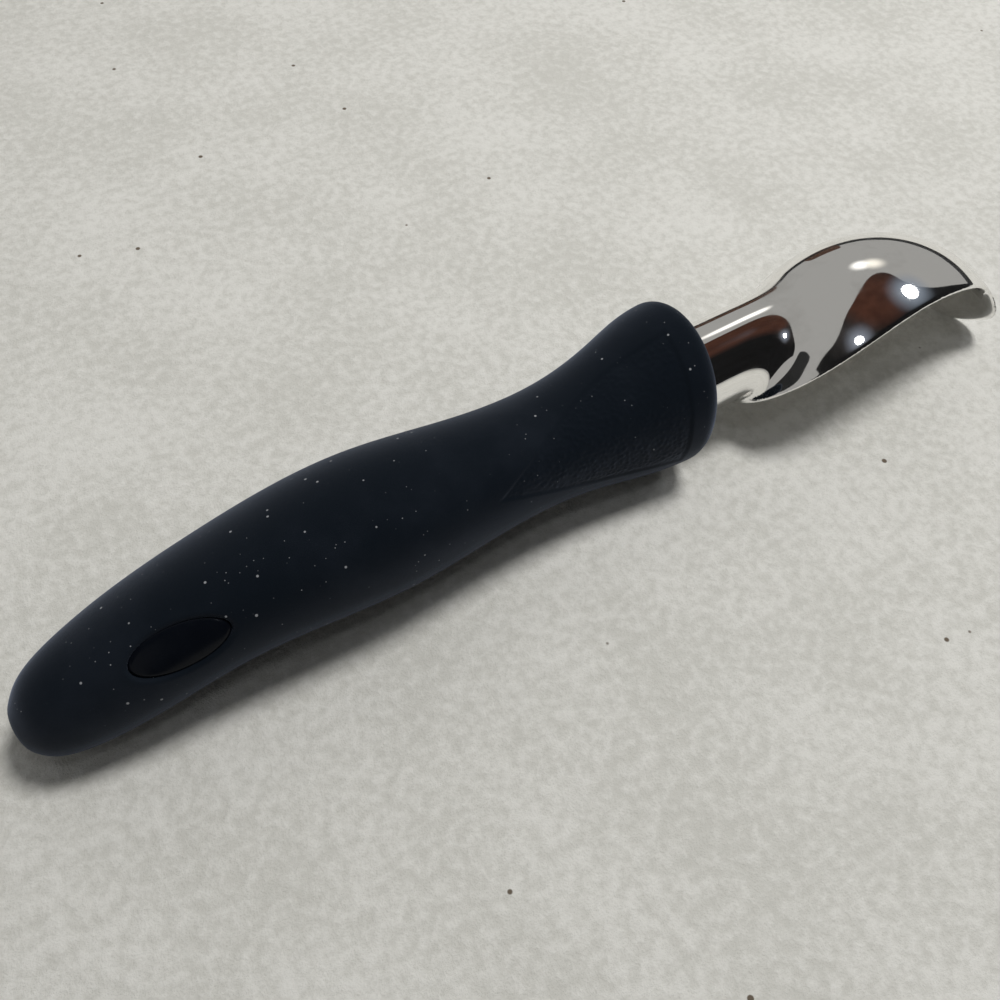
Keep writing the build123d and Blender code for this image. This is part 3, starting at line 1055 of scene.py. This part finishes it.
def grain_tree():
    """Geometry Nodes tree that raises a wrinkled grain where a mesh is marked, and dresses it."""
    tree = bpy.data.node_groups.new("moulded_grain", "GeometryNodeTree")
    tree.interface.new_socket("Geometry", in_out="INPUT", socket_type="NodeSocketGeometry")
    for name in ("Cell Size", "Grain Height"):
        tree.interface.new_socket(name, in_out="INPUT", socket_type="NodeSocketFloat")
    tree.interface.new_socket("Geometry", in_out="OUTPUT", socket_type="NodeSocketGeometry")
    given = tree.nodes.new("NodeGroupInput")
    result = tree.nodes.new("NodeGroupOutput")
    spot = tree.nodes.new("GeometryNodeInputPosition").outputs[0]
    per_cell = sums(tree, "DIVIDE", 1.0, given.outputs["Cell Size"])
    warp = tree.nodes.new("ShaderNodeTexNoise")
    tree.links.new(spot, warp.inputs["Vector"])
    tree.links.new(sums(tree, "MULTIPLY", per_cell, WARP_SCALE), warp.inputs["Scale"])
    warp.inputs["Detail"].default_value = 1.0
    bent = add_node(tree, "ShaderNodeVectorMath", {"operation": "MULTIPLY_ADD"})
    tree.links.new(warp.outputs["Color"], bent.inputs[0])
    reach = tree.nodes.new("ShaderNodeCombineXYZ")
    for socket in reach.inputs:
        tree.links.new(sums(tree, "MULTIPLY", given.outputs["Cell Size"], WARP_REACH), socket)
    tree.links.new(reach.outputs[0], bent.inputs[1])
    tree.links.new(spot, bent.inputs[2])
    cell = tree.nodes.new("ShaderNodeTexVoronoi")
    cell.feature = "DISTANCE_TO_EDGE"
    tree.links.new(bent.outputs[0], cell.inputs["Vector"])
    tree.links.new(per_cell, cell.inputs["Scale"])
    pillow = spread(tree, cell.outputs["Distance"], 0.0, CREASE_WIDTH)
    marked = tree.nodes.new("GeometryNodeInputNamedAttribute")
    marked.data_type = "FLOAT"
    marked.inputs["Name"].default_value = "grained"
    grown = sums(tree, "MULTIPLY", pillow, marked.outputs[0])
    rise = sums(tree, "MULTIPLY", grown, given.outputs["Grain Height"])
    facing = tree.nodes.new("GeometryNodeInputNormal").outputs[0]
    move = add_node(tree, "ShaderNodeVectorMath", {"operation": "SCALE"})
    tree.links.new(facing, move.inputs[0])
    tree.links.new(rise, move.inputs["Scale"])
    raised = tree.nodes.new("GeometryNodeSetPosition")
    tree.links.new(given.outputs["Geometry"], raised.inputs["Geometry"])
    tree.links.new(move.outputs[0], raised.inputs["Offset"])
    whole = add_node(tree, "GeometryNodeRealizeInstances", Geometry=raised.outputs[0])
    dressed = add_node(tree, "GeometryNodeSetMaterial", Geometry=whole.outputs[0], Material=rubber)
    tree.links.new(dressed.outputs[0], result.inputs["Geometry"])
    return tree


grain_nodes = grain_tree()
print("grain tree of", len(grain_nodes.nodes), "nodes")

# %% Raise the grain
GRAIN_CELL = 0.95
GRAIN_HEIGHT = 0.16

grain = grip.modifiers.new("moulded grain", "NODES")
grain.node_group = grain_nodes
grain_sizes = {"Cell Size": GRAIN_CELL * MM, "Grain Height": GRAIN_HEIGHT * MM}
for item in grain_nodes.interface.items_tree:
    if item.name in grain_sizes:
        grain[item.identifier] = grain_sizes[item.name]
grip_mesh = settled(grip)
grip_mesh.shade_smooth()
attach(grip, "root")
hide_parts("soft_grip")
print("grain raised on", grip.name, "with", len(grip_mesh.polygons), "faces")

# %% [markdown]
# ## Oval badge
# A small hard glossy oval sits in the window, a little below the rubber. A flat disc
# would be quicker, but its one even shine would look cut out of paper. So the badge is
# a skin of rings laid on the curve of the grip, with its edge eased over, and closed
# underneath. The same helper weaves it that wove the grip.

# %% Badge shape
BADGE_SETBACK, BADGE_EASE, BADGE_REST = 0.5, 0.45, 0.03
BADGE_SPOKES, FLAT_RINGS, EASED_RINGS = 120, 8, 6
BADGE_FLAT = 0.86


def near_side(x, z, inset):
    """Points on the near side of the grip below given places seen from the side."""
    half_width, middle, half_height = section(x)
    up = np.clip((z - middle) / (half_height - inset), -1, 1)
    return np.stack([x, -(half_width - inset) * np.sqrt(1 - up**2), z], -1)


def badge_rows():
    """Rings of the badge's face, its eased edge, and its flat back on the core."""
    spokes = np.linspace(0, 2 * math.pi, BADGE_SPOKES, endpoint=False)
    rings = [(share, 0.0) for share in np.linspace(0.08, BADGE_FLAT, FLAT_RINGS)]
    for turn in np.radians(np.linspace(15, 90, EASED_RINGS)):
        share = 1 - (1 - math.sin(turn)) * (1 - BADGE_FLAT)
        rings.append((share, BADGE_EASE * (1 - math.cos(turn))))
    underside = SKIN - BADGE_SETBACK - BADGE_REST
    rows = []
    for share, ease in rings + [(1.0, underside), (0.5, underside)]:
        x = BADGE_X + BADGE_LENGTH / 2 * share * np.cos(spokes)
        z = BADGE_RISE + BADGE_HEIGHT / 2 * share * np.sin(spokes)
        rows.append(near_side(x, z, BADGE_SETBACK + ease))
    return np.array(rows)


badge_depths = BADGE_SETBACK, SKIN - BADGE_REST
badge_ends = [near_side(BADGE_X, BADGE_RISE, inset) for inset in badge_depths]
badge_mesh = skin_of_rows("oval_badge_face", badge_rows(), badge_ends)
badge = new_piece("oval_badge_face", badge_mesh)
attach(badge, "root")
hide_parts("oval_badge")
print("badge:", len(badge_mesh.polygons), "faces")

# %% Badge finish
BADGE_BLACK, BADGE_PAINTED_GLINT = (0.0022, 0.003, 0.0052), (0.005, 0.0065, 0.010)
BADGE_RIPPLE = 0.00001

gloss, tree, shader = new_finish("glossy_badge")
place = object_place(tree)
# The paler bluish patches that a noise mixes into the badge's black are painted glints; the same
# noise makes those patches a little rougher.
glint_noise = noise(tree, place, 300.0, 3.0)
tree.links.new(tint(tree, glint_noise, BADGE_BLACK, BADGE_PAINTED_GLINT), shader.inputs["Base Color"])
tree.links.new(sums(tree, "MULTIPLY_ADD", glint_noise, 0.12, 0.14), shader.inputs["Roughness"])
ripple = bump(tree, noise(tree, place, 1500.0, 2.0), BADGE_RIPPLE, 0.6)
tree.links.new(ripple, shader.inputs["Normal"])
shader.inputs["Specular IOR Level"].default_value = 0.12
badge_mesh.materials.append(gloss)
print("gloss on", badge.name)

# %% [markdown]
# ## What is inside
# The hard core and the two cross pins are hidden by the rubber. They could be built
# again with finer edges, but nobody sees them and their CAD shapes are right as they
# stand. So they stay, and only get finishes: a dull moulded plastic with a faint flow
# in it, and ground steel.

# %% Hard core
CORE_DARK, CORE_PALE = (0.030, 0.031, 0.034), (0.055, 0.056, 0.060)
CORE_TOOTH = 0.00002


def dress(node, material):
    """Gives a CAD node one material."""
    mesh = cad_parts[node].data
    mesh.materials.clear()
    mesh.materials.append(material)


plastic, tree, shader = new_finish("hard_core_plastic")
place = object_place(tree)
flow = noise(tree, place, 45.0, 4.0, 0.6)
tree.links.new(tint(tree, flow, CORE_DARK, CORE_PALE), shader.inputs["Base Color"])
tree.links.new(sums(tree, "MULTIPLY_ADD", flow, 0.15, 0.38), shader.inputs["Roughness"])
tooth = bump(tree, noise(tree, place, 3000.0, 2.0), CORE_TOOTH, 0.5)
tree.links.new(tooth, shader.inputs["Normal"])
dress("handle_core", plastic)
print("core finished in", plastic.name)

# %% Cross pins
STEEL_DARK, STEEL_PALE = (0.46, 0.46, 0.45), (0.60, 0.60, 0.58)
GRIND_DEPTH = 0.000004

steel, tree, shader = new_finish("ground_steel")
place = object_place(tree)
lay = add_node(tree, "ShaderNodeMapping", Vector=place, Scale=(20, 1, 1))
grind = noise(tree, lay.outputs[0], 900.0, 3.0, 0.6)
tree.links.new(tint(tree, grind, STEEL_DARK, STEEL_PALE), shader.inputs["Base Color"])
tree.links.new(sums(tree, "MULTIPLY_ADD", grind, 0.2, 0.22), shader.inputs["Roughness"])
tree.links.new(bump(tree, grind, GRIND_DEPTH, 0.6), shader.inputs["Normal"])
shader.inputs["Metallic"].default_value = 1.0
dress("tang_pins", steel)
print("pins finished in", steel.name)
